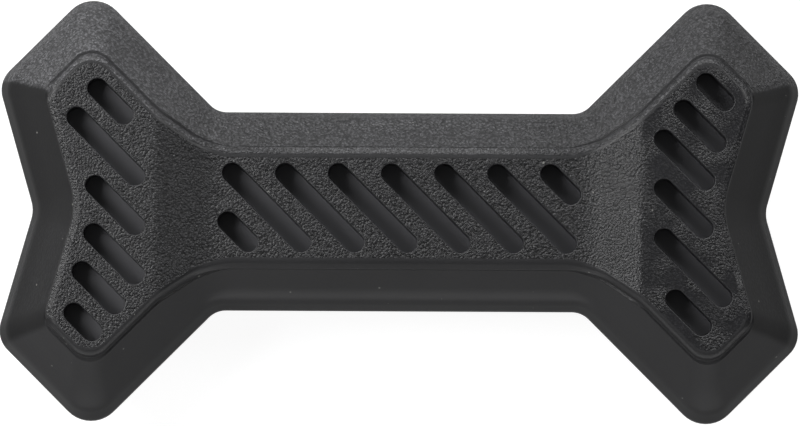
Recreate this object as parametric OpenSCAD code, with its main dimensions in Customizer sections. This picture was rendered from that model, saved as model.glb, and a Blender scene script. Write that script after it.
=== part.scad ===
// Bone-shaped rubber chew toy: a smooth core between two equal grained shells.
// Millimetres, +Z up, +X along the bone. The origin is under the middle, on the resting face.

/* [Bone outline] */
// Length over the four tips
body_l = 160; // [132:0.5:200]
// Width over the knobs
body_w = 84.4; // [74:0.2:98]
// Width of the bar between the knobs
bar_w = 39.8; // [34:0.2:46]
// Distance along the length from a knob's tips back to its outermost corners
apex_in = 18.4; // [15:0.1:22]
// Lean of each end edge away from square, which makes the shallow notch in the end
end_angle = 16; // [12:0.5:19]
// Corner rounding at the tips
tip_r = 5.6; // [4:0.1:7]
// Corner rounding at the outermost corners of the knobs
apex_r = 6.4; // [5:0.1:8]
// Rounding in the necks, where the bar meets the knobs
neck_r = 4.8; // [3:0.1:8]
// Rounding at the bottom of the end notches
notch_r = 6.6; // [4:0.1:10]

/* [Thickness and faces] */
// Thickness through the knobs
knob_h = 34; // [31:0.5:38]
// Thickness through the bar
bar_h = 26.4; // [24:0.2:28]
// Height of the upright band round the parting line
band_h = 2.5; // [1.5:0.1:4]
// Width in plan of the sloping edge round the knobs
knob_edge = 8.7; // [8:0.1:9.4]
// Width in plan of the sloping edge along the bar
bar_edge = 7.7; // [7:0.1:8.4]
// Height by which the raised faces stand above the sloping edges
face_step = 1; // [0.5:0.1:1.5]
// Width of the small ledge at the foot of that step, round the knobs
knob_ledge = 0.4; // [0.2:0.05:0.8]
// Width of the same ledge along the bar, where it almost fades out
bar_ledge = 0.12; // [0.1:0.01:0.3]
// Height of the softened rim of the raised faces
rim_h = 0.5; // [0.2:0.05:0.6]
// Width in plan of that rim
rim_w = 1; // [0.3:0.05:1.2]
// Outward corner rounding of the raised faces
face_r = 4.5; // [3:0.1:5]
// Length of a knob's raised face, from the tips back to the top of the ramp
knob_face_l = 32; // [28:0.5:36]
// Length in plan of each ramp that climbs from the bar to a knob
ramp_l = 10; // [8:0.5:12]
// Rounding where the ramps meet the faces
ramp_r = 6; // [3:0.5:8]

/* [Slots] */
// Width of a slot
slot_w = 4; // [3:0.1:4.4]
// Depth of a slot, which is also the thickness of a shell over the core
slot_depth = 5; // [4:0.1:6]
// Distance between slot centres, measured along the bar
bar_slot_pitch = 10.56; // [10:0.02:11]
// Length over the round ends of a long bar slot
bar_slot_l = 23.5; // [20:0.1:25]
// Length over the round ends of a short bar slot
short_slot_l = 9.75; // [8:0.05:11]
// Least distance in plan from a slot to a ramp or to a knob's sloping edge
slot_margin = 1; // [0.5:0.1:2]
// Distance between the centre lines of neighbouring knob slots
knob_slot_pitch = 6.94; // [6.2:0.02:8]
// Distance along the length from a knob's tips back to the middle of its slots
knob_slots_in = 18.7; // [17:0.1:20]
// Angle of the slots to the length of the bone
slot_angle = 45; // [42:0.5:48]

/* [Core] */
// Thickness in plan of a shell's side wall round the core
side_wall = 4; // [3.6:0.1:4.2]
// Gap left all round the core for the bond
core_gap = 0.1; // [0.05:0.01:0.2]
// Outward corner rounding of the core
core_r = 3; // [2:0.1:4]

/* [Hidden] */
// Knob slots, from the far end of the knob to the other: each row gives the distance of the
// slot's centre past the ramp, then its length, both as shares of the knob face's length
knob_slot_shares = [
    [0.296, 0.355],
    [0.324, 0.638],
    [0.264, 0.472],
    [0.268, 0.484],
    [0.364, 0.413],
    [0.458, 0.284]
];
// Straight pieces in each rounded corner
arc_steps = 8;
// Overrun of cutting shapes past what they cut
over = 0.6;
half_turn = 180;
right_angle = 90;

// Corners of one quarter of the outline before rounding, from the end notch to the neck
notch = 0;
neck = 3;
apex_x = body_l / 2 - apex_in;
apex_y = body_w / 2 + apex_r * (sqrt(2) - 1);
tip_reach_share = cos((right_angle / 2 - end_angle) / 2) / cos((right_angle / 2 + end_angle) / 2);
tip_x = body_l / 2 + tip_r * (tip_reach_share - 1);
tip_y = apex_x + apex_y - tip_x;
notch_x = tip_x - tip_y * tan(end_angle);
neck_y = bar_w / 2;
neck_x = apex_x - (apex_y - neck_y);
quarter = [[notch_x, 0], [tip_x, tip_y], [apex_x, apex_y], [neck_x, neck_y]];
quarter_r = [notch_r, tip_r, apex_r, neck_r];
// Walk round the outline: corner number in the quarter, side in X, side in Y
walk = concat(
    [for (k = [notch:neck]) [k, 1, 1]],
    [for (k = [neck:-1:notch]) [k, -1, 1]],
    [for (k = [notch + 1:neck]) [k, -1, -1]],
    [for (k = [neck:-1:notch + 1]) [k, 1, -1]]
);
sides = len(walk);
per_corner = arc_steps + 1;
ring_count = sides * per_corner;

// Half heights, measured from the parting plane
knob_rise = knob_h / 2;
bar_rise = bar_h / 2;
band_rise = band_h / 2;
knob_slope_run = knob_edge / (knob_rise - face_step - band_rise);
bar_slope_run = bar_edge / (bar_rise - face_step - band_rise);
ramp_top = body_l / 2 - knob_face_l;
ramp_foot = ramp_top - ramp_l;

// A short slot ends level with the long ones
short_slot_shift = (bar_slot_l - short_slot_l) / 2;
// How far a short slot reaches past its place in the row, towards the ramp
short_slot_reach = ((short_slot_l - slot_w) / 2 - short_slot_shift) * cos(slot_angle) + slot_w / 2;
// As many long slots as the bar has room for, with a place for a short one at either end
long_slots = floor(2 * (ramp_foot - slot_margin - short_slot_reach) / bar_slot_pitch) - 1;
// Farthest from the middle line that a knob slot may reach
knob_slots_y = body_w / 2 - knob_edge - slot_margin;

// Plane geometry
function unit(v) = v / norm(v);
function turn_of(u, v) = u[0] * v[1] - u[1] * v[0];
function left_of(v) = [-v[1], v[0]];
function spun(v, a) = [v[0] * cos(a) - v[1] * sin(a), v[0] * sin(a) + v[1] * cos(a)];
// Where the line through p along d meets the line through q along e
function meet(p, d, q, e) = p + d * turn_of(q - p, e) / turn_of(d, e);
// Points of a corner at b rounded to radius r, on the way from a to c
function rounded(a, b, c, r) =
    let (u = unit(a - b), v = unit(c - b))
    let (half = acos(u * v) / 2, side = sign(turn_of(b - a, c - b)))
    let (middle = b + unit(u + v) * r / sin(half), start = b + u * r / tan(half) - middle)
    [for (s = [0:arc_steps]) middle + spun(start, side * (half_turn - 2 * half) * s / arc_steps)];

// Outline drawn in by one amount round the knobs and another along the bar
function corner(i) =
    let (w = walk[(i + sides) % sides])
    [quarter[w[0]][0] * w[1], quarter[w[0]][1] * w[2]];
function is_bar_edge(i) = walk[i % sides][0] == neck && walk[(i + 1) % sides][0] == neck;
function edge_way(i) = unit(corner(i + 1) - corner(i));
function edge_start(i, knob_in, bar_in) =
    corner(i) + left_of(edge_way(i)) * (is_bar_edge(i + sides) ? bar_in : knob_in);
function drawn_in(i, knob_in, bar_in) =
    let (before = (i + sides - 1) % sides)
    meet(edge_start(before, knob_in, bar_in), edge_way(before), edge_start(i, knob_in, bar_in), edge_way(i));
// Notches and necks are hollow, so their rounding grows inwards; tips and apexes keep the
// outline's own rounding unless another is given
function corner_r(i, knob_in, outward_r) =
    let (k = walk[i][0])
    (k == notch || k == neck) ? quarter_r[k] + knob_in : (outward_r > 0 ? outward_r : quarter_r[k]);
function ring(z, knob_in, bar_in, outward_r) =
    let (c = [for (i = [0:sides - 1]) drawn_in(i, knob_in, bar_in)])
    [for (i = [0:sides - 1])
        for (p = rounded(c[(i + sides - 1) % sides], c[i], c[(i + 1) % sides], corner_r(i, knob_in, outward_r)))
            [p[0], p[1], z]];

// How far the sloping edges have run in at a height above the parting plane
function knob_inset(z) = (z - band_rise) * knob_slope_run;
function bar_inset(z) = (z - band_rise) * bar_slope_run;

// Closed skin over a stack of rings; each cap fans out from a hub near either neck
module skin(rings) {
    n = ring_count;
    levels = len(rings);
    hubs = [for (level = [0, levels - 1]) for (s = [1, -1]) [s * neck_x, 0, rings[level][0][2]]];
    points = concat([for (r = rings) for (p = r) p], hubs);
    walls = [for (level = [0:levels - 2]) for (i = [0:n - 1])
        let (a = level * n + i, b = level * n + (i + 1) % n)
        for (f = [[a, a + n, b + n], [a, b + n, b]]) f];
    caps = [for (top = [0, 1]) for (i = [0:n - 1])
        let (j = (i + 1) % n, first = top * (levels - 1) * n, hub = levels * n + top * 2)
        let (near = hub + on_left(i), far = hub + on_left(j))
        for (f = concat([[first + i, first + j, far]], near == far ? [] : [[first + i, far, near]]))
            top == 1 ? [f[2], f[1], f[0]] : f];
    polyhedron(points = points, faces = concat(walls, caps));
}
function on_left(i) = walk[floor(i / per_corner)][1] < 0 ? 1 : 0;

// Everything below the top faces: knobs at one height, the bar lower, ramps between
module under_faces(knob_top, bar_top) {
    far_x = body_l / 2 + over;
    line = [
        [far_x, knob_top],
        [ramp_top, knob_top],
        [ramp_foot, bar_top],
        [-ramp_foot, bar_top],
        [-ramp_top, knob_top],
        [-far_x, knob_top]
    ];
    bends = [for (i = [1:4]) for (p = rounded(line[i - 1], line[i], line[i + 1], ramp_r)) p];
    floor_line = [[-far_x, -over], [far_x, -over]];
    rotate([right_angle, 0, 0])
        linear_extrude(height = body_w + 2 * over, center = true)
            polygon(concat([line[0]], bends, [line[5]], floor_line));
}

// Sloping edges of one half, up to the foot of the step
module half_edges() {
    intersection() {
        skin([
            ring(0, 0, 0, 0),
            ring(band_rise, 0, 0, 0),
            ring(knob_rise, knob_inset(knob_rise), bar_inset(knob_rise), face_r)
        ]);
        under_faces(knob_rise - face_step, bar_rise - face_step);
    }
}

// Raised faces of one half, with a softened rim at the bar's height and at the knobs'
module half_faces() {
    knob_rim = knob_rise - rim_h;
    bar_rim = bar_rise - rim_h;
    top = knob_rise + over;
    rim_run = rim_w / rim_h;
    knob_rim_in = knob_ledge + knob_inset(knob_rim);
    bar_rim_in = bar_ledge + bar_inset(bar_rim);
    intersection() {
        skin([
            ring(band_rise, knob_ledge, bar_ledge, 0),
            ring(bar_rim, knob_ledge + knob_inset(bar_rim), bar_rim_in, face_r),
            ring(knob_rim, knob_rim_in, bar_rim_in + (knob_rim - bar_rim) * rim_run, face_r),
            ring(top, knob_rim_in + (top - knob_rim) * rim_run, bar_rim_in + (top - bar_rim) * rim_run, face_r)
        ]);
        under_faces(knob_rise, bar_rise);
    }
}

// Room inside one half for the core, or, drawn in by the bond gap, the core's own half
module half_inside(gap) {
    wall = side_wall + gap;
    cover = slot_depth + gap;
    top = knob_rise - slot_depth + over;
    intersection() {
        skin([
            ring(-over, wall, wall, core_r),
            ring(band_rise, wall, wall, core_r),
            ring(top, wall + knob_inset(top), wall + bar_inset(top), core_r)
        ]);
        under_faces(knob_rise - cover, bar_rise - cover);
    }
}

// Slot with round ends, cut right through the shell over the core
module slot(length, top) {
    reach = (length - slot_w) / 2;
    depth = slot_depth + 2 * over;
    translate([0, 0, top - slot_depth - over]) {
        rotate([0, 0, -slot_angle]) {
            translate([-reach, -slot_w / 2, 0])
                cube([2 * reach, slot_w, depth]);
            for (s = [-1, 1])
                translate([s * reach, 0, 0])
                    cylinder(d = slot_w, h = depth, $fn = 48);
        }
    }
}

// All the slots of one face; the pattern is the same after half a turn
module slots() {
    for (i = [0:long_slots - 1])
        translate([(i - (long_slots - 1) / 2) * bar_slot_pitch, 0, 0])
            slot(bar_slot_l, bar_rise);
    for (turn = [0, half_turn]) {
        rotate([0, 0, turn]) {
            translate([-(long_slots + 1) / 2 * bar_slot_pitch, 0, 0])
                translate(short_slot_shift * [cos(slot_angle), -sin(slot_angle), 0])
                    slot(short_slot_l, bar_rise);
            rows = len(knob_slot_shares);
            for (i = [0:rows - 1]) {
                length = knob_slot_shares[i][1] * knob_face_l;
                x = -ramp_top - knob_slot_shares[i][0] * knob_face_l;
                row_x = knob_slots_in - body_l / 2 + ((rows - 1) / 2 - i) * knob_slot_pitch / sin(slot_angle);
                y = (row_x - x) * tan(slot_angle);
                if (abs(y) + ((length - slot_w) * sin(slot_angle) + slot_w) / 2 < knob_slots_y)
                    translate([x, y, 0])
                        slot(length, knob_rise);
            }
        }
    }
}

module half_shell() {
    difference() {
        union() {
            half_edges();
            half_faces();
        }
        half_inside(0);
        slots();
    }
}

module core() {
    color("#2b2b2d")
        translate([0, 0, knob_rise])
            for (turn = [0, half_turn])
                rotate([turn, 0, 0])
                    half_inside(core_gap);
}

module upper_shell() {
    color("#39393b")
        translate([0, 0, knob_rise])
            half_shell();
}

module lower_shell() {
    color("#303032")
        translate([0, 0, knob_rise])
            rotate([half_turn, 0, 0])
                half_shell();
}

core();
upper_shell();
lower_shell();
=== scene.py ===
import math

import bmesh
import bpy
from bpy.props import FloatProperty, FloatVectorProperty, PointerProperty
from mathutils import Matrix, Vector


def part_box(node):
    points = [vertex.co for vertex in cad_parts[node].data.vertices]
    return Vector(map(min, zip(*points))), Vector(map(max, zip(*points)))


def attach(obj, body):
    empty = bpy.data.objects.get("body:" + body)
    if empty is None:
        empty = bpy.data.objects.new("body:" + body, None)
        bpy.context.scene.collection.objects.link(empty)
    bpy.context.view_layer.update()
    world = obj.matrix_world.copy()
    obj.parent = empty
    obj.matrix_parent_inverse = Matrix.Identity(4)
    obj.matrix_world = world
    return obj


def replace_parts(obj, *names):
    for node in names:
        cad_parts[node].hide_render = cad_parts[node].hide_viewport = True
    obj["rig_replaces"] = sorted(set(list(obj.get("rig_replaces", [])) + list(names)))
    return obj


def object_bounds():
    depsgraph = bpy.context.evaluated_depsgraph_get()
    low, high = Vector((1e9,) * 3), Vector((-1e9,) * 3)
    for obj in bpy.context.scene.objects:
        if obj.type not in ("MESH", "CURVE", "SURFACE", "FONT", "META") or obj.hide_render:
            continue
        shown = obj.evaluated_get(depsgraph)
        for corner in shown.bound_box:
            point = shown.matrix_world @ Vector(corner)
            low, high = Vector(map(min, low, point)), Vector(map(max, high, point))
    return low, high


bl_info = {
    "name": "Rubber Chew Bone",
    "version": (1, 0, 0),
    "blender": (4, 5, 0),
    "location": "View3D > Sidebar > Chew Bone",
    "description": "Models and finishes a bone-shaped rubber chew toy over its packed frame",
    "category": "Object",
}

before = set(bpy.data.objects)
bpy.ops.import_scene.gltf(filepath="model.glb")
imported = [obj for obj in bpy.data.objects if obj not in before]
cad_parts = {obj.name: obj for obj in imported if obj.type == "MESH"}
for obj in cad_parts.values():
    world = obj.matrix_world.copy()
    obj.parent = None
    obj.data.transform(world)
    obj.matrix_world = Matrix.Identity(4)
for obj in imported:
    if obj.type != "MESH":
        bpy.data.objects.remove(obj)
CAD_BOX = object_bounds()

MM = 0.001
BODY = "root"
SHELL_TOP, CORE = "upper_shell", "core"
BOX_LOW, BOX_HIGH = CAD_BOX
PARTING_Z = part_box("lower_shell")[1].z

# Corners of a quarter of the outline, from the notch in the end to the neck
NOTCH, TIP, APEX, NECK = range(4)
# Sorts of side, in the same order: each has the number of the lower of its two corners
SIDE_SORTS = ("end", "outer", "inner", "bar")
END = SIDE_SORTS.index("end")
# Straight pieces in a rounded corner of the outline, and the length of those between corners
CORNER_STEPS = 10
EDGE_STEP = 1.1 * MM
# Straight pieces in a rounded bend of the cross-section, of a ramp, and in both ends of a slot
BEND_STEPS = 5
RAMP_STEPS = 8
SLOT_STEPS = 40
# Share of a straight stretch that the rounding at one of its ends may take
ROOM_SHARE = 0.49
# Times that the search for the height of a crease halves its range
HALVINGS = 40
# The skin has four rings inside, then the seam's, then those of eight bends. The sixth bend is the
# bottom of the groove, and the last is the top of the rim.
INNER_RINGS = 4
GROOVE_RING = INNER_RINGS + 1 + 5 * (BEND_STEPS + 1) + BEND_STEPS // 2
RIM_RING = INNER_RINGS + 8 * (BEND_STEPS + 1)
# Bends sharper than this stay sharp in the shading
SMOOTH_ANGLE = math.radians(40)


def linear(hex_colour):
    """An sRGB hex colour as linear red, green, blue and alpha."""
    channels = [int(hex_colour[i:i + 2], 16) / 255 for i in (1, 3, 5)]
    return [c / 12.92 if c <= 0.04045 else ((c + 0.055) / 1.055) ** 2.4 for c in channels] + [1.0]


def length_of(name, description, default):
    """A length that a user may change."""
    return FloatProperty(name=name, description=description, default=default,
                         subtype="DISTANCE", unit="LENGTH", precision=5)


def angle_of(name, description, degrees):
    """An angle that a user may change."""
    return FloatProperty(name=name, description=description, default=math.radians(degrees),
                         subtype="ANGLE", unit="ROTATION")


def share_of(name, description, default):
    """A share from 0 to 1 that a user may change."""
    return FloatProperty(name=name, description=description, default=default,
                         min=0.0, max=1.0, subtype="FACTOR")


def power_of(name, default):
    """The power of a lamp, which a user may change."""
    return FloatProperty(name=name, description="Power in watts", default=default, min=0.0, unit="POWER")


def colour_of(name, description, hex_colour):
    """A colour that a user may change."""
    return FloatVectorProperty(name=name, description=description, default=linear(hex_colour),
                               subtype="COLOR", size=4, min=0.0, max=1.0)


class BoneOutline(bpy.types.PropertyGroup):
    """Outline of the bone"""
    length: length_of("Length", "Length over the four tips", BOX_HIGH.x - BOX_LOW.x)
    width: length_of("Width", "Width over the knobs", BOX_HIGH.y - BOX_LOW.y)
    bar_width: length_of("Bar width", "Width of the bar between the knobs", 39.8 * MM)
    apex_in: length_of("Apex inset", "From the tips back to the outermost corners", 18.4 * MM)
    end_lean: angle_of("End lean", "Lean of the end edges from square", 16)
    tip_r: length_of("Tip rounding", "Corner rounding at the tips", 5.6 * MM)
    apex_r: length_of("Apex rounding", "Corner rounding at the outermost corners", 6.4 * MM)
    neck_r: length_of("Neck rounding", "Rounding where the bar meets a knob", 4.8 * MM)
    notch_r: length_of("Notch rounding", "Rounding at the bottom of an end notch", 6.6 * MM)


class BoneSection(bpy.types.PropertyGroup):
    """Heights above the parting plane, and widths in plan"""
    knob_rise: length_of("Knob rise", "Knob face above the parting plane", BOX_HIGH.z - PARTING_Z)
    bar_rise: length_of("Bar rise", "Bar face above the parting plane", 13.2 * MM)
    band_rise: length_of("Band rise", "Upright band above the parting plane", 1.25 * MM)
    end_edge: length_of("End edge", "Width of the slope at the ends", 8.75 * MM)
    outer_edge: length_of("Outer edge", "Width of the slope between tip and outermost corner", 9.15 * MM)
    inner_edge: length_of("Inner edge", "Width of the slope between outermost corner and neck", 8.7 * MM)
    bar_edge: length_of("Bar edge", "Width of the slope along the bar", 7.7 * MM)
    face_step: length_of("Face step", "Raised face above the top of the slope", 1.0 * MM)
    end_groove: length_of("End groove", "Width of the groove at the ends", 0.5 * MM)
    knob_groove: length_of("Knob groove", "Width of the groove on a knob's other sides", 1.2 * MM)
    bar_groove: length_of("Bar groove", "Width of the groove along the bar face", 0.2 * MM)
    end_rim: length_of("End rim", "Height of the bevelled rim at the ends", 0.45 * MM)
    end_rim_w: length_of("End rim width", "Width of the bevelled rim at the ends", 1.15 * MM)
    knob_rim: length_of("Knob rim", "Height of the rounded rim on a knob's other sides", 0.65 * MM)
    bar_rim: length_of("Bar rim", "Height of the bar face's rounded rim", 0.85 * MM)
    bar_rim_w: length_of("Bar rim width", "Width of the bar face's rounded rim", 1.5 * MM)
    hip_in: length_of("Hip inset", "From the outline in to the hip, where the slope begins", 1.5 * MM)
    hip_rise: length_of("Hip rise", "Hip above the parting plane", 5.0 * MM)
    foot_r: length_of("Foot rounding", "Rounding at the band and at the hip", 8.0 * MM)
    swell: length_of("Swell", "How far the slopes bulge at half their height", 0.3 * MM)
    face_r: length_of("Face rounding", "Corner rounding of the raised faces", 4.5 * MM)
    knob_face_l: length_of("Knob face length", "From the tips back to the ramp", 32.0 * MM)
    ramp_l: length_of("Ramp length", "Length in plan of a ramp", 10.0 * MM)
    ramp_foot_r: length_of("Ramp foot rounding", "Rounding where a ramp rises from the bar", 12.0 * MM)
    ramp_top_r: length_of("Ramp top rounding", "Rounding where a ramp meets a knob face", 6.0 * MM)
    wall: length_of("Side wall", "Shell round the core, in plan", 4.0 * MM)
    cover: length_of("Cover", "Shell over the core, the depth of the slots", 5.0 * MM)
    inner_r: length_of("Inner rounding", "Corner rounding inside the shell", 3.0 * MM)
    seam: length_of("Seam", "Softening of the edge at the parting line", 0.14 * MM)


class BoneSlots(bpy.types.PropertyGroup):
    """Slots of one face"""
    width: length_of("Slot width", "Width of a slot", 4.0 * MM)
    bar_pitch: length_of("Bar pitch", "Between slot centres along the bar", 10.56 * MM)
    bar_length: length_of("Long slot", "Length of a long bar slot", 23.5 * MM)
    short_length: length_of("Short slot", "Length of a short bar slot", 9.75 * MM)
    knob_pitch: length_of("Knob pitch", "Between the centre lines of knob slots", 6.94 * MM)
    knob_in: length_of("Knob slots", "From the tips back to the middle of a knob's slots", 18.7 * MM)
    slant: angle_of("Slant", "Angle of the slots to the bone", 45)
    lip: length_of("Slot lip", "Rounding of a slot's upper edge", 0.22 * MM)


class RubberFinish(bpy.types.PropertyGroup):
    """Rubber"""
    grain: length_of("Grain", "Width of a pebble of the moulded grain", 0.45 * MM)
    slope_grain: length_of("Slope grain", "Width of a pebble on the slopes", 0.62 * MM)
    grain_depth: length_of("Grain depth", "Height of the grain", 0.13 * MM)
    neck: length_of("Neck", "From the middle to where the slopes' grain is coarse", 34 * MM)
    patch: length_of("Patch", "Size of the lighter and darker patches", 25 * MM)
    dust_gap: length_of("Dust gap", "Between grains of dust", 3.6 * MM)
    dust_size: length_of("Dust size", "Largest grains of dust", 0.23 * MM)
    # Painted light: how much lighter the grained slopes of the left knob are painted, for the lamp at the
    # left
    left_knob_light: share_of("Haze", "How much lighter dust makes the slopes of the left knob", 0.55)
    # Painted shade in the pits of the faces' grain
    shaded_face_pits: colour_of("Face pits", "Faces between the pebbles of the grain", "#0e0e0f")
    face_tops: colour_of("Face tops", "Faces on the pebbles of the grain", "#29292b")
    worn_face: colour_of("Worn face", "Faces where the grain is worn away", "#1a1a1c")
    # Painted shade in the pits of the slopes' grain; the grained colour, lighter than the plain one, is
    # painted light on the back-facing slopes
    shaded_slope_pits: colour_of("Slope pits", "Slopes between the pebbles of the grain", "#222223")
    slope_tops: colour_of("Slope tops", "Slopes on the pebbles of the grain", "#474749")
    # Painted shade: darker than the grained colour of the slopes that face the back
    shaded_plain_slope: colour_of("Plain slopes", "Slopes where the grain has faded out", "#262627")
    # Near black: partly the smoother rubber's own tone, partly painted shade at the ends
    shaded_end: colour_of("Ends", "Smooth slopes at the ends of the bone", "#080809")
    slot_wall: colour_of("Slot walls", "Walls of the slots", "#18181a")
    core: colour_of("Core", "Core, which is the floor of the slots", "#4a4a4d")
    dust: colour_of("Dust", "Grains of dust", "#62625f")


class StudioSetup(bpy.types.PropertyGroup):
    """Studio"""
    distance: length_of("Camera distance", "From the middle of the bone to the camera", 1500 * MM)
    tilt: angle_of("Camera tilt", "Lean of the camera towards the front", 3.6)
    roll: angle_of("Camera roll", "Turn of the camera about its axis", 0.296)
    lens: FloatProperty(name="Lens", description="Focal length in millimetres", default=336.35,
                        min=1.0, unit="CAMERA")
    floor_size: length_of("Floor size", "Length and width of the paper floor", 6.0)
    floor: colour_of("Floor", "Paper floor as the lamps light it", "#888888")
    key_lamp: power_of("Key lamp", 2.2)
    right_lamp: power_of("Right lamp", 1.1)
    back_panel: power_of("Back panel", 6.4)
    front_panel: power_of("Front panel", 7.2)
    top_panel: power_of("Top panel", 2.3)


# The groove lies across the crease: where it starts, is deepest and ends, in groove widths
GROOVE_START_SHARE, GROOVE_BOTTOM_SHARE, GROOVE_END_SHARE = -0.4, 0.05, 0.35
# How far the groove cuts below its start, and the roundings of its start and bottom, likewise
GROOVE_DROP_SHARE, GROOVE_START_R_SHARE, GROOVE_BOTTOM_R_SHARE = 0.1, 0.3, 0.4
# Roundings at the foot and top of the rim, in rim heights, and the face beyond it, in rim widths
RIM_FOOT_R_SHARE, RIM_TOP_R_SHARE, RIM_FACE_SHARE = 0.3, 3.0, 2.6

# How far a slot's tool stands above the face, and how far above the face its flare begins
TOOL_OVER = 0.6 * MM
TOOL_SKIM = 0.004 * MM
# Long slots on the bar, and for each knob slot the distance of its centre past the ramp and its
# length, both as shares of the knob face's length
LONG_SLOTS = 6
KNOB_SLOT_SHARES = (
    (0.296, 0.355), (0.324, 0.638), (0.264, 0.472),
    (0.268, 0.484), (0.364, 0.413), (0.458, 0.284),
)


def turn_of(u, v):
    """The area between u and v, which is above zero where v lies to the left of u."""
    return u.x * v.y - u.y * v.x


def meet(p, p_way, q, q_way):
    """Where the line through p along p_way meets the line through q along q_way."""
    return p + p_way * (turn_of(q - p, q_way) / turn_of(p_way, q_way))


def rounded(a, b, c, radius, steps):
    """Points of the corner at b, rounded on the way from a to c as far as there is room."""
    u = (a - b).normalized()
    v = (c - b).normalized()
    half = math.acos(max(-1.0, min(1.0, u.dot(v)))) / 2
    radius = min(radius, ROOM_SHARE * min((a - b).length, (c - b).length) * math.tan(half))
    middle = b + (u + v).normalized() * radius / math.sin(half)
    start = b + u * radius / math.tan(half) - middle
    turn = math.copysign(math.pi - 2 * half, turn_of(b - a, c - b))
    return [middle + Matrix.Rotation(turn * step / steps, 2) @ start for step in range(steps + 1)]


def rounded_line(line, radii, steps):
    """A line whose inner corners are rounded to the given radii."""
    points = [line[0]]
    for a, b, c, radius in zip(line, line[1:], line[2:], radii):
        points += rounded(a, b, c, radius, steps)
    return points + [line[-1]]


def mix(a, b, share):
    """What lies at the given share of the way from a to b."""
    return a + (b - a) * share


def outline_corners(outline):
    """Corners of the outline before rounding, as (kind, place), counter-clockwise."""
    # Rounding draws a corner in, so the sharp apex and tip lie past the width and the length
    apex_y = outline.width / 2 + outline.apex_r * (math.sqrt(2) - 1)
    apex = Vector((outline.length / 2 - outline.apex_in, apex_y))
    # The sides of a knob lie at 45 degrees to the bone
    slant = math.pi / 4
    reach = math.cos((slant - outline.end_lean) / 2) / math.cos((slant + outline.end_lean) / 2)
    tip_x = outline.length / 2 + outline.tip_r * (reach - 1)
    tip = Vector((tip_x, apex.x + apex.y - tip_x))
    notch = Vector((tip.x - tip.y * math.tan(outline.end_lean), 0))
    neck = Vector((apex.x - apex.y + outline.bar_width / 2, outline.bar_width / 2))
    quarter = [(NOTCH, notch), (TIP, tip), (APEX, apex), (NECK, neck)]
    # The two lower quarters leave out the notches, which the upper ones have
    quarters = [(1, 1, quarter), (-1, 1, quarter[::-1]), (-1, -1, quarter[1:]), (1, -1, quarter[:0:-1])]
    return [(kind, Vector((p.x * sx, p.y * sy))) for sx, sy, row in quarters for kind, p in row]


class Ring:
    """Closed line round the bone, each side of which is drawn in by its own amount.

    outward_r rounds the tips and outermost corners in place of their own roundings. counts holds the
    number of pieces between corners, which one ring takes from another so that their points match.
    """

    def __init__(self, outline, insets, outward_r=None, counts=None):
        corners = outline_corners(outline)
        n = len(corners)
        own_r = {NOTCH: outline.notch_r, TIP: outline.tip_r, APEX: outline.apex_r, NECK: outline.neck_r}
        sides = [min(corners[i][0], corners[(i + 1) % n][0]) for i in range(n)]
        way = [(corners[(i + 1) % n][1] - corners[i][1]).normalized() for i in range(n)]
        start = [corners[i][1] + Vector((-way[i].y, way[i].x)) * insets[sides[i]] for i in range(n)]
        moved = [meet(start[i - 1], way[i - 1], start[i], way[i]) for i in range(n)]
        arcs = []
        for i in range(n):
            kind = corners[i][0]
            inset = (insets[sides[i - 1]] + insets[sides[i]]) / 2
            radius = own_r[kind] + inset if kind in (NOTCH, NECK) else outward_r or own_r[kind]
            arcs.append(rounded(moved[i - 1], moved[i], moved[(i + 1) % n], radius, CORNER_STEPS))
        gaps = [arcs[(i + 1) % n][0] - arcs[i][-1] for i in range(n)]
        self.counts = counts or [max(1, round(gap.length / EDGE_STEP)) for gap in gaps]
        self.points = []
        # How far each point belongs to each sort of side
        self.shares = []
        for i in range(n):
            before, after = (Vector([float(side == sort) for sort in range(len(SIDE_SORTS))])
                             for side in (sides[i - 1], sides[i]))
            self.points += arcs[i]
            self.shares += [before.lerp(after, step / CORNER_STEPS) for step in range(CORNER_STEPS + 1)]
            for k in range(1, self.counts[i]):
                self.points.append(arcs[i][-1] + gaps[i] * k / self.counts[i])
                self.shares.append(after)


def face_line(outline, section, drop):
    """Height of the faces less the drop, from the middle of the bone outwards, as (x, height) points."""
    ramp_top = outline.length / 2 - section.knob_face_l
    bar_z, knob_z = section.bar_rise - drop, section.knob_rise - drop
    line = [Vector((0, bar_z)), Vector((ramp_top - section.ramp_l, bar_z)),
            Vector((ramp_top, knob_z)), Vector((outline.length, knob_z))]
    return rounded_line(line, (section.ramp_foot_r, section.ramp_top_r), RAMP_STEPS)


def height_at(x, line):
    """Height of the faces at a place along the bone."""
    x = abs(x)
    for a, b in zip(line, line[1:]):
        if x <= b.x:
            return mix(a.y, b.y, (x - a.x) / (b.x - a.x))
    return line[-1].y


class Path:
    """Way in plan from the foot of a slope inwards, with the slope's height along it."""

    def __init__(self, foot, top, reach, low, high, shares):
        self.foot = foot
        self.way = (top - foot) / reach
        self.reach = reach
        self.low = low
        self.run = reach / (high - low)
        self.shares = shares

    def place(self, inward):
        """The place in plan that lies so far in."""
        return self.foot + self.way * inward

    def slope(self, inward):
        """The slope's height so far in."""
        return self.low + inward / self.run

    def blend(self, end, outer, inner, bar):
        """What a size comes to here, from its values on the four sorts of side."""
        return self.shares.dot(Vector((end, outer, inner, bar)))

    def meets(self, line, step):
        """How far in the slope reaches the faces' height less the step."""
        near, far = 0.0, 2 * self.reach
        for _ in range(HALVINGS):
            middle = (near + far) / 2
            if self.slope(middle) < height_at(self.place(middle).x, line) - step:
                near = middle
            else:
                far = middle
        return (near + far) / 2


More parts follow.
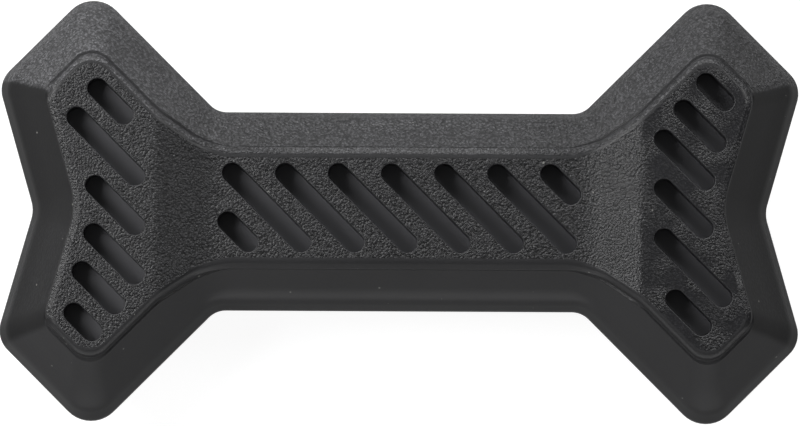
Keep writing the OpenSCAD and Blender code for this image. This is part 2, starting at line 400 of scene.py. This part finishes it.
def paths_between(outline, section, inset, rise, outward_rs, counts=None):
    """Paths up the slopes, from a ring drawn in by inset to where the slopes would reach rise."""
    below_slope = section.face_step + section.band_rise
    knob_climb, bar_climb = section.knob_rise - below_slope, section.bar_rise - below_slope
    runs = Vector((section.end_edge / knob_climb, section.outer_edge / knob_climb,
                   section.inner_edge / knob_climb, section.bar_edge / bar_climb))
    reaches = runs * (rise - section.band_rise)
    foot = Ring(outline, [inset] * len(SIDE_SORTS), outward_rs[0], counts)
    top = Ring(outline, [inset + reach for reach in reaches], outward_rs[1], foot.counts)
    paths = [Path(a, b, reaches.dot(shares), section.band_rise, rise, shares)
             for a, b, shares in zip(foot.points, top.points, foot.shares)]
    return paths, foot.counts


def outer_section(path, section, line):
    """Outside of the shell up one path, as places from the parting plane to the face."""
    crease = path.meets(line, section.face_step)
    face_z = path.slope(crease) + section.face_step
    groove = path.blend(section.end_groove, section.knob_groove, section.knob_groove, section.bar_groove)
    rim = path.blend(section.end_rim, section.knob_rim, section.knob_rim, section.bar_rim)
    rim_w = path.blend(section.end_rim_w, section.knob_rim, section.knob_rim, section.bar_rim_w)
    groove_start = crease + GROOVE_START_SHARE * groove
    groove_end = crease + GROOVE_END_SHARE * groove
    bottom = crease + GROOVE_BOTTOM_SHARE * groove
    start_z = path.slope(groove_start)
    bottom_z = mix(start_z - GROOVE_DROP_SHARE * groove, path.slope(bottom), path.shares[END])
    middle = Vector((groove_start / 2, path.slope(groove_start / 2)))
    middle += Vector((-1, path.run)).normalized() * section.swell
    # From the seam up the band, over the hip and up the slope, then through the groove and over the rim
    corners = [Vector(p) for p in (
        (section.seam, 0),
        (0, section.seam),
        (0, section.band_rise),
        (section.hip_in, section.hip_rise),
        middle,
        (groove_start, start_z),
        (bottom, bottom_z),
        (groove_end, face_z - rim),
        (groove_end + rim_w, face_z),
        (groove_end + RIM_FACE_SHARE * rim_w, face_z),
    )]
    # A bulge is rounded over all the room that it has
    swell_r = section.knob_rise / section.swell * section.outer_edge
    radii = (section.seam, section.foot_r, section.foot_r, swell_r, GROOVE_START_R_SHARE * groove,
             GROOVE_BOTTOM_R_SHARE * groove, RIM_FOOT_R_SHARE * rim, RIM_TOP_R_SHARE * rim)
    places = []
    for inward, height in rounded_line(corners, radii, BEND_STEPS):
        at = path.place(inward)
        if inward > crease:
            height += height_at(at.x, line) - face_z
        places.append(Vector((at.x, at.y, PARTING_Z + height)))
    return places


def inner_section(path, section, line):
    """Inside of the shell down one path, from the ceiling to the parting plane."""
    corner = path.meets(line, 0)
    # The ceiling starts with a flat ring, as wide as a knob's rim is high
    places = []
    for inward in (corner + section.knob_rim, corner):
        at = path.place(inward)
        places.append(Vector((at.x, at.y, PARTING_Z + height_at(at.x, line))))
    for height in (section.band_rise, 0):
        places.append(Vector((path.foot.x, path.foot.y, PARTING_Z + height)))
    return places


def new_piece(name):
    """The object that an operator has just added, renamed."""
    piece = bpy.context.active_object
    piece.name = piece.data.name = name
    return piece


def deselect_all():
    """Leaves edit mode and selects nothing."""
    if bpy.context.mode != "OBJECT":
        bpy.ops.object.mode_set(mode="OBJECT")
    bpy.ops.object.select_all(action="DESELECT")


def only(piece):
    """Makes piece the one that is selected and active."""
    deselect_all()
    piece.select_set(True)
    bpy.context.view_layer.objects.active = piece


def place_ring(piece, number, places):
    """Puts each selected vertex at its path's place, and notes the ring's number."""
    mesh = bmesh.from_edit_mesh(piece.data)
    path, ring = mesh.verts.layers.int["path"], mesh.verts.layers.int["ring"]
    for vertex in mesh.verts:
        if vertex.select:
            vertex.co = places[vertex[path]]
            vertex[ring] = number
    bmesh.update_edit_mesh(piece.data)


def grow_skin(name, sections):
    """Extrudes a circle through one ring after another; sections hold a list of places per path."""
    rings = list(zip(*sections))
    bpy.ops.mesh.primitive_circle_add(vertices=len(sections), radius=BOX_HIGH.x)
    piece = new_piece(name)
    bpy.ops.object.mode_set(mode="EDIT")
    mesh = bmesh.from_edit_mesh(piece.data)
    mesh.verts.layers.int.new("ring")
    layer = mesh.verts.layers.int.new("path")
    for i, vertex in enumerate(mesh.verts):
        vertex[layer] = i
    bpy.ops.mesh.select_all(action="SELECT")
    place_ring(piece, 0, rings[0])
    for number, ring in enumerate(rings[1:], 1):
        # The new ring may start anywhere, because it is then put at its places
        bpy.ops.mesh.extrude_edges_move(TRANSFORM_OT_translate={"value": (0, 0, EDGE_STEP)})
        place_ring(piece, number, ring)
    return piece


def coat_slopes(piece, tops, slot):
    """Gives the skin below each path's top ring the material in the given slot."""
    bpy.ops.mesh.select_mode(type="FACE")
    bpy.ops.mesh.select_all(action="DESELECT")
    mesh = bmesh.from_edit_mesh(piece.data)
    path, ring = mesh.verts.layers.int["path"], mesh.verts.layers.int["ring"]
    for face in mesh.faces:
        numbers = [vertex[ring] for vertex in face.verts]
        top = min(tops[vertex[path]] for vertex in face.verts)
        face.select = min(numbers) < max(numbers) <= top
    bmesh.update_edit_mesh(piece.data)
    piece.active_material_index = slot
    bpy.ops.object.material_slot_assign()


def spot(place):
    """A place to the micrometre, so that equal places compare as equal."""
    return tuple(round(c / MM, 3) for c in place)


def close_end(piece, ring, bends, number):
    """Fills the loop of vertices at the ring's places, and cuts that face along the ramps' bends.

    Its parts are marked with the end's number, which tells them from the rest of the skin.
    """
    bpy.ops.mesh.select_all(action="DESELECT")
    bpy.ops.mesh.select_mode(type="VERT")
    mesh = bmesh.from_edit_mesh(piece.data)
    wanted = {spot(place) for place in ring}
    for vertex in mesh.verts:
        vertex.select = spot(vertex.co) in wanted
    mesh.select_flush(True)
    bpy.ops.mesh.edge_face_add()
    bpy.ops.mesh.select_mode(type="FACE")
    mesh = bmesh.from_edit_mesh(piece.data)
    end = mesh.faces.layers.int.get("end") or mesh.faces.layers.int.new("end")
    for face in mesh.faces:
        if face.select:
            face[end] = number
    for x in bends:
        mesh = bmesh.from_edit_mesh(piece.data)
        end = mesh.faces.layers.int["end"]
        for face in mesh.faces:
            face.select = face[end] == number
        mesh.select_flush_mode()
        bpy.ops.mesh.bisect(plane_co=(x, 0, 0), plane_no=(1, 0, 0))


def bends_of(line):
    """Where the faces bend, on both sides of the middle."""
    xs = [p.x for p in line[1:-1]]
    return [-x for x in reversed(xs)] + xs


def slot_tool(length, depth, slots, top):
    """A solid with round ends and a flared top, in the shape of the room that a slot takes."""
    reach = (length - slots.width) / 2
    # The disc lies upside down, because the tool grows downwards from it
    bpy.ops.mesh.primitive_circle_add(vertices=SLOT_STEPS, radius=slots.width / 2 + slots.lip,
                                      fill_type="NGON", location=(0, 0, top + TOOL_OVER),
                                      rotation=(math.pi, 0, 0))
    tool = new_piece("slot_tool")
    bpy.ops.object.mode_set(mode="EDIT")
    mesh = bmesh.from_edit_mesh(tool.data)
    bpy.ops.mesh.select_all(action="DESELECT")
    for vertex in mesh.verts:
        vertex.select = vertex.co.x > 0
    mesh.select_flush(True)
    # Half of the disc moves along by the straight part of the slot, and all of it back by half of that
    bpy.ops.transform.translate(value=(2 * reach, 0, 0))
    bpy.ops.mesh.select_all(action="SELECT")
    bpy.ops.transform.translate(value=(-reach, 0, 0))
    bpy.ops.mesh.extrude_region_move(TRANSFORM_OT_translate={"value": (0, 0, TOOL_SKIM - TOOL_OVER)})
    # Steps down a quarter of a circle, which rounds the slot's upper edge
    turn = math.pi / 2 / BEND_STEPS
    for i in range(BEND_STEPS):
        inward = slots.lip * (math.sin((i + 1) * turn) - math.sin(i * turn))
        down = slots.lip * (math.cos(i * turn) - math.cos((i + 1) * turn))
        bpy.ops.mesh.inset(thickness=inward, depth=down)
    bpy.ops.mesh.extrude_region_move(TRANSFORM_OT_translate={"value": (0, 0, -depth - TOOL_OVER)})
    bpy.ops.object.mode_set(mode="OBJECT")
    return tool


def lay_slot(tool, x, y, slant):
    """Turns a slot's tool to its slant and puts it at its place in plan."""
    only(tool)
    tool.rotation_euler = (tool.rotation_euler.x, 0, -slant)
    tool.location = (x, y, tool.location.z)
    bpy.ops.object.transform_apply(location=True, rotation=True, scale=True)


def slot_tools(outline, section, slots):
    """All the slots of one face, joined into one object."""
    across, slope = math.cos(slots.slant), math.tan(slots.slant)
    knob_z, bar_z = PARTING_Z + section.knob_rise, PARTING_Z + section.bar_rise
    wanted = [((i - (LONG_SLOTS - 1) / 2) * slots.bar_pitch, 0, slots.bar_length, bar_z)
              for i in range(LONG_SLOTS)]
    # A short slot at each end of the row starts level with the long ones
    shift = (slots.bar_length - slots.short_length) / 2 * across
    ends = [(shift - (LONG_SLOTS + 1) / 2 * slots.bar_pitch, -shift, slots.short_length, bar_z)]
    ramp_top = outline.length / 2 - section.knob_face_l
    rows = len(KNOB_SLOT_SHARES)
    for i, (past, share) in enumerate(KNOB_SLOT_SHARES):
        x = -ramp_top - past * section.knob_face_l
        row_x = slots.knob_in - outline.length / 2 + ((rows - 1) / 2 - i) * slots.knob_pitch / across
        ends.append((x, (row_x - x) * slope, share * section.knob_face_l, knob_z))
    # What lies at the left end lies at the right end too, turned by half a turn
    wanted += ends + [(-x, -y, length, z) for x, y, length, z in ends]
    tools = []
    for x, y, length, z in wanted:
        tool = slot_tool(length, section.cover, slots, z)
        lay_slot(tool, x, y, slots.slant)
        tools.append(tool)
    deselect_all()
    for tool in tools:
        tool.select_set(True)
    bpy.context.view_layer.objects.active = tools[0]
    bpy.ops.object.join()
    return tools[0]


# Kinds of node that the finishes use often, and the setting that makes a range smooth. A mix of colours
# takes its share at input 0 and the colours at 6 and 7, and gives the result at output 2.
MATH, EASE, SPLIT = "ShaderNodeMath", "ShaderNodeMapRange", "ShaderNodeSeparateXYZ"
NOISE, MIX, VECTOR_MATH = "ShaderNodeTexNoise", "ShaderNodeMix", "ShaderNodeVectorMath"
SMOOTHLY = {"interpolation_type": "SMOOTHSTEP"}

# Ranges over which something sets in smoothly, from none of it to all. How far a slope is turned some
# way, or to an end of the bone, is read from its normal.
TURNED = {"From Min": 0.2, "From Max": 0.5}
TURNED_TO_END = {"From Min": 0.1, "From Max": 0.45}
NEAR_NECK = {"From Min": 14 * MM, "From Max": 5 * MM}
# Where the painted light on the left knob sets in
LIT_LEFT_KNOB = {"From Min": -20 * MM, "From Max": -60 * MM}
WORN_KNOB = {"From Min": 44 * MM, "From Max": 52 * MM}
WORN_PATCH = {"From Min": 0.4, "From Max": 0.6}
PEBBLE_TOPS = {"From Min": 0.65, "From Max": 1.5}
SPECK_EDGE = {"From Min": 0.008, "From Max": 0.0}
PALE_WALLS = {"From Min": 0.2, "From Max": 0.1}

# Strength of the grain on smooth slopes and on grained ones, what coarse places have on top of that,
# and what a worn place loses
SMOOTH_GRAIN, SLOPE_GRAIN, COARSE_GRAIN, WORN_LOSS = 0.05, 1.3, 1.4, 0.7
# In pebble widths: size of the wander that makes pebbles uneven, how far it moves them, and the sizes
# of the fine bumps on them and of clumps of lighter pebbles
WANDER_SHARE, SHIFT_SHARE, FINE_SHARE, CLUMP_SHARE = 1.25, 0.3, 0.5, 2.0
# Height of a pebble's middle and of the fine bumps, and how much clumps count beside them
PEBBLE_HEIGHT, FINE_HEIGHT, CLUMP_WEIGHT = 0.75, 0.8, 0.5
# How far neighbouring pebbles melt into one another
MELTING = 0.2
# Brightness of the darkest handling marks, and how much lighter the lightest are
MARK_DARKEST, MARK_RANGE = 0.8, 0.4
# Size of worn places beside the handling marks
WORN_SHARE = 1 / 3
# White that the camera sees on the paper, and what of it rubber mirrors
PAPER_WHITE, MIRRORED_WHITE = 0.9, 0.13


def add(tree, kind, inputs=None, **settings):
    """Adds a node with its settings, and fills its inputs with values, outputs or whole nodes."""
    made = tree.nodes.new(kind)
    for name, value in settings.items():
        setattr(made, name, value)
    for key, value in (inputs or {}).items():
        if isinstance(value, bpy.types.Node):
            value = value.outputs[0]
        if isinstance(value, bpy.types.NodeSocket):
            tree.links.new(value, made.inputs[key])
        else:
            made.inputs[key].default_value = value
    return made


def new_material(name):
    """An empty node material and its tree."""
    material = bpy.data.materials.new(name)
    material.use_nodes = True
    material.node_tree.nodes.clear()
    return material, material.node_tree


def pebbles(tree, place, width):
    """Height of the grain: pebbles of uneven shape with finer bumps on them, mostly from 0.3 to 1.3."""
    wander = add(tree, NOISE, {"Vector": place, "Scale": 1 / (WANDER_SHARE * width), "Detail": 1.0})
    shift = add(tree, VECTOR_MATH, {0: wander.outputs["Color"], 1: (0.5, 0.5, 0.5)}, operation="SUBTRACT")
    shifted = add(tree, VECTOR_MATH, {0: shift, "Scale": SHIFT_SHARE * width}, operation="SCALE")
    moved = add(tree, VECTOR_MATH, {0: place, 1: shifted}, operation="ADD")
    pebble = add(tree, "ShaderNodeTexVoronoi", {
        "Vector": moved, "Scale": 1 / width, "Smoothness": MELTING}, feature="SMOOTH_F1")
    fine = add(tree, NOISE, {"Vector": place, "Scale": 1 / (FINE_SHARE * width), "Detail": 2.0})
    bulge = add(tree, MATH, {0: PEBBLE_HEIGHT, 1: pebble}, operation="SUBTRACT")
    return add(tree, MATH, {0: fine, 1: FINE_HEIGHT, 2: bulge}, operation="MULTIPLY_ADD")


def specks(tree, place, finish):
    """Where dust lies: at most one spot in each cell of the dust gap's size, some too small to see."""
    cells = add(tree, "ShaderNodeTexVoronoi", {
        "Vector": place, "Scale": 1 / finish.dust_gap}, feature="F1")
    chance = add(tree, "ShaderNodeSeparateColor", {0: cells.outputs["Color"]})
    reach = add(tree, MATH, {0: chance, 1: finish.dust_size / finish.dust_gap}, operation="MULTIPLY")
    outside = add(tree, MATH, {0: cells, 1: reach}, operation="SUBTRACT")
    return add(tree, EASE, {"Value": outside, **SPECK_EDGE}, **SMOOTHLY)


def rubber(name, zone_of, finish, width, pits, tops, pit_roughness, top_roughness, gloss, left_knob_light):
    """Black nitrile rubber with the mould's pebble grain, painted shade in its pits, handling marks and a
    little dust.

    zone_of gives the strength of the grain and the colour where there is none.
    """
    material, tree = new_material(name)
    where = add(tree, "ShaderNodeTexCoord")
    place, normal = where.outputs["Object"], where.outputs["Normal"]
    grain, plain = zone_of(tree, place, normal, finish)
    height = pebbles(tree, place, width)
    relief = add(tree, MATH, {0: height, 1: grain}, operation="MULTIPLY")
    bump = add(tree, "ShaderNodeBump", {
        "Height": relief, "Strength": 1.0, "Distance": finish.grain_depth})
    # Painted shade darkens the pits against the lighter tops: close up the eye sees pebbles, from afar a
    # matt charcoal
    clumps = add(tree, NOISE, {"Vector": place, "Scale": 1 / (CLUMP_SHARE * width), "Detail": 1.0})
    clumped = add(tree, MATH, {0: clumps, 1: CLUMP_WEIGHT, 2: height}, operation="MULTIPLY_ADD")
    on_tops = add(tree, EASE, {"Value": clumped, **PEBBLE_TOPS}, **SMOOTHLY)
    tones = add(tree, MIX, {0: on_tops, 6: pits, 7: tops}, data_type="RGBA")
    base = add(tree, MIX, {0: grain, 6: plain, 7: tones.outputs[2]}, data_type="RGBA")
    # The tops are also the duller, which spreads a lamp's sheen and so breaks it up into dots on a ramp
    shine = add(tree, MATH, {0: on_tops, 1: top_roughness - pit_roughness, 2: pit_roughness},
                operation="MULTIPLY_ADD")
    # Handling leaves patches a finger or two wide a little lighter or darker, so no face looks even
    marks = add(tree, NOISE, {"Vector": place, "Scale": 1 / finish.patch, "Detail": 2.0})
    marked = add(tree, MATH, {0: marks, 1: MARK_RANGE, 2: MARK_DARKEST}, operation="MULTIPLY_ADD")
    # Painted light: the grained slopes of the left knob are painted lighter, standing in for the lamp at
    # the left
    along = add(tree, SPLIT, {0: place}).outputs["X"]
    left = add(tree, EASE, {"Value": along, **LIT_LEFT_KNOB}, **SMOOTHLY)
    grain_share = add(tree, MATH, {0: grain, 1: 1.0}, operation="MINIMUM")
    lit_left = add(tree, MATH, {0: left, 1: grain_share}, operation="MULTIPLY")
    lightened = add(tree, MATH, {0: lit_left, 1: left_knob_light, 2: 1.0}, operation="MULTIPLY_ADD")
    lightness = add(tree, MATH, {0: marked, 1: lightened}, operation="MULTIPLY")
    coloured = add(tree, VECTOR_MATH, {0: base.outputs[2], "Scale": lightness}, operation="SCALE")
    # Single pale grains of dust, a few to each slope, catch the eye against the black
    dusted = add(tree, MIX, {0: specks(tree, place, finish), 6: coloured, 7: finish.dust},
                 data_type="RGBA")
    shader = add(tree, "ShaderNodeBsdfPrincipled", {
        "Base Color": dusted.outputs[2], "Roughness": shine, "Specular IOR Level": gloss, "Normal": bump})
    add(tree, "ShaderNodeOutputMaterial", {"Surface": shader})
    return material


def face_zone(tree, place, normal, finish):
    """Full grain on the faces, apart from places on the right knob where it is worn away."""
    along = add(tree, SPLIT, {0: place}).outputs["X"]
    right = add(tree, EASE, {"Value": along, **WORN_KNOB}, **SMOOTHLY)
    marks = add(tree, NOISE, {"Vector": place, "Scale": 1 / (WORN_SHARE * finish.patch), "Detail": 1.0})
    chosen = add(tree, EASE, {"Value": marks, **WORN_PATCH}, **SMOOTHLY)
    worn = add(tree, MATH, {0: right, 1: chosen}, operation="MULTIPLY")
    grain = add(tree, MATH, {0: worn, 1: -WORN_LOSS, 2: 1.0}, operation="MULTIPLY_ADD")
    return grain, finish.worn_face


def slope_zone(tree, place, normal, finish):
    """Grain on the slopes that face the back, most of all on the knobs' outer sides and by the necks.

    The ends and the slopes that face the front are almost smooth. Their plain colour is painted shade
    beside the lighter grained slopes that face the back panel, and the ends are the blackest, partly the
    smoother rubber's own tone and partly painted shade where the lamps hardly reach.
    """
    at = add(tree, SPLIT, {0: place}).outputs
    facing = add(tree, SPLIT, {0: normal}).outputs
    # The lower shell is the upper one turned over, so what faces back there counts as facing front
    half = add(tree, MATH, {0: facing["Z"]}, operation="SIGN")
    backwards = add(tree, MATH, {0: facing["Y"], 1: half}, operation="MULTIPLY")
    back = add(tree, EASE, {"Value": backwards, **TURNED}, **SMOOTHLY)
    knob = add(tree, MATH, {0: at["X"]}, operation="SIGN")
    outwards = add(tree, MATH, {0: facing["X"], 1: knob}, operation="MULTIPLY")
    outer = add(tree, EASE, {"Value": outwards, **TURNED}, **SMOOTHLY)
    along = add(tree, MATH, {0: at["X"]}, operation="ABSOLUTE")
    past_neck = add(tree, MATH, {0: along, 1: finish.neck}, operation="SUBTRACT")
    from_neck = add(tree, MATH, {0: past_neck}, operation="ABSOLUTE")
    near_neck = add(tree, EASE, {"Value": from_neck, **NEAR_NECK}, **SMOOTHLY)
    coarse = add(tree, MATH, {0: outer, 1: near_neck}, operation="MAXIMUM")
    strength = add(tree, MATH, {0: coarse, 1: COARSE_GRAIN, 2: SLOPE_GRAIN}, operation="MULTIPLY_ADD")
    grain = add(tree, MATH, {0: strength, 1: back, 2: SMOOTH_GRAIN}, operation="MULTIPLY_ADD")
    endways = add(tree, MATH, {0: facing["X"]}, operation="ABSOLUTE")
    sideways = add(tree, MATH, {0: facing["Y"]}, operation="ABSOLUTE")
    turned = add(tree, MATH, {0: endways, 1: sideways}, operation="SUBTRACT")
    end = add(tree, EASE, {"Value": turned, **TURNED_TO_END}, **SMOOTHLY)
    # Painted shade: the plain colour of the slopes facing the front, near black at the ends
    plain = add(tree, MIX, {0: end, 6: finish.shaded_plain_slope, 7: finish.shaded_end}, data_type="RGBA")
    return grain, plain.outputs[2]


def grained_rubber(finish):
    """Faces and ramps: matt black with an even pebble grain, from a spark-textured mould."""
    return rubber("nitrile_rubber_spark_grained", face_zone, finish, finish.grain, finish.shaded_face_pits,
                  finish.face_tops, pit_roughness=0.28, top_roughness=0.43, gloss=0.36, left_knob_light=0.0)


def slope_rubber(finish):
    """Slopes: the same rubber, duller, where the texture fades out towards the front and the ends, which
    are painted darker as shade, and with painted light on the left knob.
    """
    return rubber("nitrile_rubber_faded_grain", slope_zone, finish, finish.slope_grain, finish.shaded_slope_pits,
                  finish.slope_tops, pit_roughness=0.36, top_roughness=0.36, gloss=0.25, left_knob_light=finish.left_knob_light)


def smooth_rubber(name, colour):
    """The same rubber moulded against polished steel, with a dull, even sheen."""
    material, tree = new_material(name)
    # Rough enough for the lamps to blur out, so that a slot looks deep and its floor a soft grey
    shader = add(tree, "ShaderNodeBsdfPrincipled", {
        "Base Color": colour, "Roughness": 0.5, "Specular IOR Level": 0.4})
    add(tree, "ShaderNodeOutputMaterial", {"Surface": shader})
    return material


def cut_slots(shell, tool):
    """Cuts the slots, whose walls keep the tool's material."""
    only(shell)
    cut = shell.modifiers.new("slots", "BOOLEAN")
    cut.operation = "DIFFERENCE"
    cut.solver = "EXACT"
    cut.object = tool
    cut.material_mode = "TRANSFER"
    bpy.ops.object.modifier_apply(modifier=cut.name)
    bpy.data.objects.remove(tool)


def finish_normals(shell):
    """Smooth over the small bends, flat over the large faces."""
    only(shell)
    bpy.ops.object.shade_smooth_by_angle(angle=SMOOTH_ANGLE)
    weigh = shell.modifiers.new("weighted_normals", "WEIGHTED_NORMAL")
    weigh.keep_sharp = True
    bpy.ops.object.modifier_apply(modifier=weigh.name)


class OBJECT_OT_chew_upper_shell(bpy.types.Operator):
    """Model the upper shell: slopes, groove, raised faces with ramps, and slots"""
    bl_idname = "object.chew_upper_shell"
    bl_label = "Upper shell"

    def execute(self, context):
        outline, section = context.scene.bone_outline, context.scene.bone_section
        slots, finish = context.scene.bone_slots, context.scene.rubber_finish
        deselect_all()
        faces = face_line(outline, section, 0)
        ceiling = face_line(outline, section, section.cover)
        outer, counts = paths_between(outline, section, 0, section.knob_rise, (None, section.face_r))
        inner, _ = paths_between(outline, section, section.wall, section.knob_rise - section.cover,
                                 (section.inner_r, section.inner_r), counts)
        sections = [inner_section(a, section, ceiling) + outer_section(b, section, faces)
                    for a, b in zip(inner, outer)]
        shell = grow_skin("upper_shell_moulding", sections)
        shell.data.materials.append(grained_rubber(finish))
        shell.data.materials.append(slope_rubber(finish))
        # The bevelled rims at the ends look like the faces, and the rounded ones like the slopes
        tops = [GROOVE_RING if path.shares[END] > 0.5 else RIM_RING for path in outer]
        coat_slopes(shell, tops, slot=1)
        close_end(shell, [places[0] for places in sections], bends_of(ceiling), number=1)
        close_end(shell, [places[-1] for places in sections], bends_of(faces), number=2)
        bpy.ops.mesh.select_all(action="SELECT")
        bpy.ops.mesh.normals_make_consistent(inside=False)
        bpy.ops.object.mode_set(mode="OBJECT")
        tool = slot_tools(outline, section, slots)
        tool.data.materials.append(smooth_rubber("nitrile_rubber_slot_wall", finish.slot_wall))
        cut_slots(shell, tool)
        finish_normals(shell)
        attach(shell, BODY)
        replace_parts(shell, SHELL_TOP)
        return {"FINISHED"}


class OBJECT_OT_chew_lower_shell(bpy.types.Operator):
    """Copy the upper shell and turn it over below the parting line"""
    bl_idname = "object.chew_lower_shell"
    bl_label = "Lower shell"

    def execute(self, context):
        only(bpy.data.objects["upper_shell_moulding"])
        bpy.ops.object.duplicate()
        shell = new_piece("lower_shell_moulding")
        # The copy still hangs on the body, and is freed to be turned over
        shell.parent = None
        turn = Matrix.Translation((0, 0, PARTING_Z)) @ Matrix.Rotation(math.pi, 4, "X")
        shell.matrix_world = turn @ Matrix.Translation((0, 0, -PARTING_Z))
        bpy.ops.object.transform_apply(location=True, rotation=True, scale=True)
        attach(shell, BODY)
        # The copy still says that it replaces the upper shell
        shell["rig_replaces"] = []
        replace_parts(shell, "lower_shell")
        return {"FINISHED"}


class OBJECT_OT_chew_core(bpy.types.Operator):
    """Give the core its smooth finish"""
    bl_idname = "object.chew_core"
    bl_label = "Core"

    def execute(self, context):
        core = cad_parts[CORE]
        core.data.materials.clear()
        colour = context.scene.rubber_finish.core
        core.data.materials.append(smooth_rubber("nitrile_rubber_smooth", colour))
        return {"FINISHED"}


# Width of the camera's sensor in millimetres, width of the picture in pixels, and how far the bone's
# middle lies off the picture's, in pixels
SENSOR = 36.0
PICTURE_W = 800
SHIFT_PX = (0.69, -0.74)

# Lamps as (setting that holds the power, place, size), in metres
LAMPS = (
    ("key_lamp", (-0.38, 0.07, 0.38), (0.22, 0.22)),
    ("right_lamp", (0.35, 0.22, 0.45), (0.25, 0.25)),
    ("back_panel", (-0.12, 0.55, 0.36), (0.8, 0.3)),
    ("front_panel", (0.1, -0.9, 0.3), (2.6, 0.5)),
    ("top_panel", (0.0, 0.0, 1.7), (2.0, 2.0)),
)


def add_lamp(name, place, size, power):
    """A soft lamp that looks at the middle of the bone."""
    bpy.ops.object.light_add(type="AREA", location=place)
    lamp = bpy.context.active_object
    lamp.name = lamp.data.name = name
    lamp.data.shape = "RECTANGLE"
    lamp.data.size, lamp.data.size_y = size
    lamp.data.energy = power
    aim = Vector((0, 0, PARTING_Z)) - Vector(place)
    lamp.rotation_euler = aim.to_track_quat("-Z", "Y").to_euler()


def white_paper(colour):
    """Matt paper that the camera sees as white, with the bone's shadow left on it."""
    material, tree = new_material("matt_white_paper")
    paper = add(tree, "ShaderNodeBsdfDiffuse", {"Color": colour})
    ray = add(tree, "ShaderNodeLightPath").outputs
    seen = add(tree, MATH, {0: ray["Is Camera Ray"], 1: ray["Is Transmission Ray"]}, operation="MAXIMUM")
    # Rubber mirrors the paper as the lamps light it, with only a little of its white
    mirrored = add(tree, MATH, {0: ray["Is Glossy Ray"], 1: MIRRORED_WHITE}, operation="MULTIPLY")
    white = add(tree, MATH, {0: seen, 1: PAPER_WHITE, 2: mirrored}, operation="MULTIPLY_ADD")
    glow = add(tree, "ShaderNodeEmission", {"Color": linear("#ffffff"), "Strength": white})
    both = add(tree, "ShaderNodeAddShader", {0: paper, 1: glow})
    add(tree, "ShaderNodeOutputMaterial", {"Surface": both})
    return material


def studio_world():
    """A dark studio whose walls are pale up to a little above the horizon."""
    world = bpy.data.worlds.new("studio")
    world.use_nodes = True
    tree = world.node_tree
    direction = add(tree, "ShaderNodeTexCoord").outputs["Generated"]
    height = add(tree, SPLIT, {0: direction}).outputs["Z"]
    pale = add(tree, EASE, {"Value": height, **PALE_WALLS}, **SMOOTHLY)
    walls = tree.nodes["Background"]
    walls.inputs["Color"].default_value = linear("#ffffff")
    tree.links.new(pale.outputs[0], walls.inputs["Strength"])
    return world


class OBJECT_OT_chew_stage(bpy.types.Operator):
    """Set the floor, the lamps and the camera"""
    bl_idname = "object.chew_stage"
    bl_label = "Stage"

    def execute(self, context):
        scene = context.scene
        studio = scene.studio_setup
        scene.view_settings.view_transform = "Standard"
        scene.world = studio_world()
        deselect_all()
        bpy.ops.mesh.primitive_plane_add(size=studio.floor_size, location=(0, 0, BOX_LOW.z))
        floor = new_piece("floor")
        floor.data.materials.append(white_paper(studio.floor))
        for name, place, size in LAMPS:
            add_lamp(name, place, size, getattr(studio, name))
        centre = Vector((0, 0, PARTING_Z))
        turn = Matrix.Rotation(studio.roll, 3, "Z") @ Matrix.Rotation(studio.tilt, 3, "X")
        place = centre + turn @ Vector((0, 0, studio.distance))
        bpy.ops.object.camera_add(location=place, rotation=turn.to_euler())
        camera = context.active_object
        camera.name = camera.data.name = "photo_camera"
        camera.data.sensor_width = SENSOR
        camera.data.lens = studio.lens
        camera.data.shift_x = SHIFT_PX[0] / PICTURE_W
        camera.data.shift_y = SHIFT_PX[1] / PICTURE_W
        camera.data.clip_end = 2 * studio.distance
        scene.camera = camera
        return {"FINISHED"}


SETTINGS = {
    "bone_outline": BoneOutline,
    "bone_section": BoneSection,
    "bone_slots": BoneSlots,
    "rubber_finish": RubberFinish,
    "studio_setup": StudioSetup,
}
STEPS = (
    OBJECT_OT_chew_upper_shell,
    OBJECT_OT_chew_lower_shell,
    OBJECT_OT_chew_core,
    OBJECT_OT_chew_stage,
)


class VIEW3D_PT_chew_bone(bpy.types.Panel):
    """Steps, sizes and colours of the chew bone"""
    bl_idname = "VIEW3D_PT_chew_bone"
    bl_label = "Chew Bone"
    bl_space_type = "VIEW_3D"
    bl_region_type = "UI"
    bl_category = "Chew Bone"

    def draw(self, context):
        for step in STEPS:
            self.layout.operator(step.bl_idname)
        for name, kind in SETTINGS.items():
            box = self.layout.box()
            box.label(text=kind.__doc__)
            for setting in kind.__annotations__:
                box.prop(getattr(context.scene, name), setting)


CLASSES = (*SETTINGS.values(), *STEPS, VIEW3D_PT_chew_bone)


def register():
    """Registers the classes, and ties their settings to the scene."""
    for cls in CLASSES:
        bpy.utils.register_class(cls)
    for name, kind in SETTINGS.items():
        setattr(bpy.types.Scene, name, PointerProperty(type=kind))


def unregister():
    """Takes back all that register did."""
    for name in SETTINGS:
        delattr(bpy.types.Scene, name)
    for cls in reversed(CLASSES):
        bpy.utils.unregister_class(cls)


def main():
    """Builds the bone and its stage."""
    register()
    bpy.ops.object.chew_upper_shell()
    bpy.ops.object.chew_lower_shell()
    bpy.ops.object.chew_core()
    bpy.ops.object.chew_stage()


if __name__ == "__main__":
    main()
